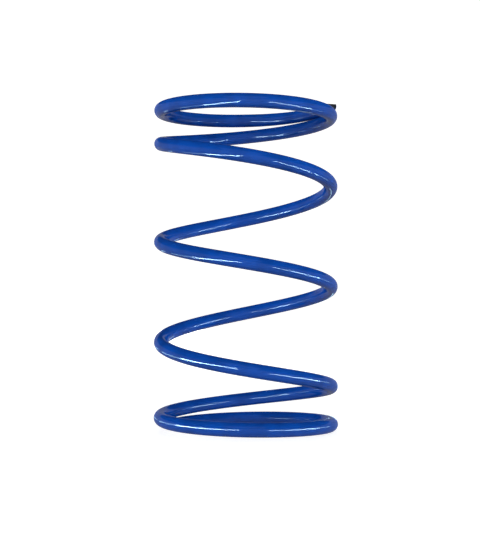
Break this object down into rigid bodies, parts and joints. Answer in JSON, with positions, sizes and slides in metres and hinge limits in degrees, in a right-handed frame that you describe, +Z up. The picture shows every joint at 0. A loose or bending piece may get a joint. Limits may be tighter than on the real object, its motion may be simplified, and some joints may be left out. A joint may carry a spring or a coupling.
{
  "type": "variator spring",
  "caption": "Left-handed helical compression spring of round wire in gloss blue paint, with closed, ground ends; it presses a variator's pulley halves together.",
  "frame": {"origin": "on the coil's axis, in the plane of the lower ground face", "axes": "+Z up along the coil's axis, -Y towards the picture's viewer, and the upper tip close behind +X"},
  "size_m": [0.0586, 0.0584, 0.105],
  "materials": {
    "blue_paint": "gloss"
  },
  "bodies": {
    "root": {"coil_spring": "blue_paint"}
  },
  "joints": []
}
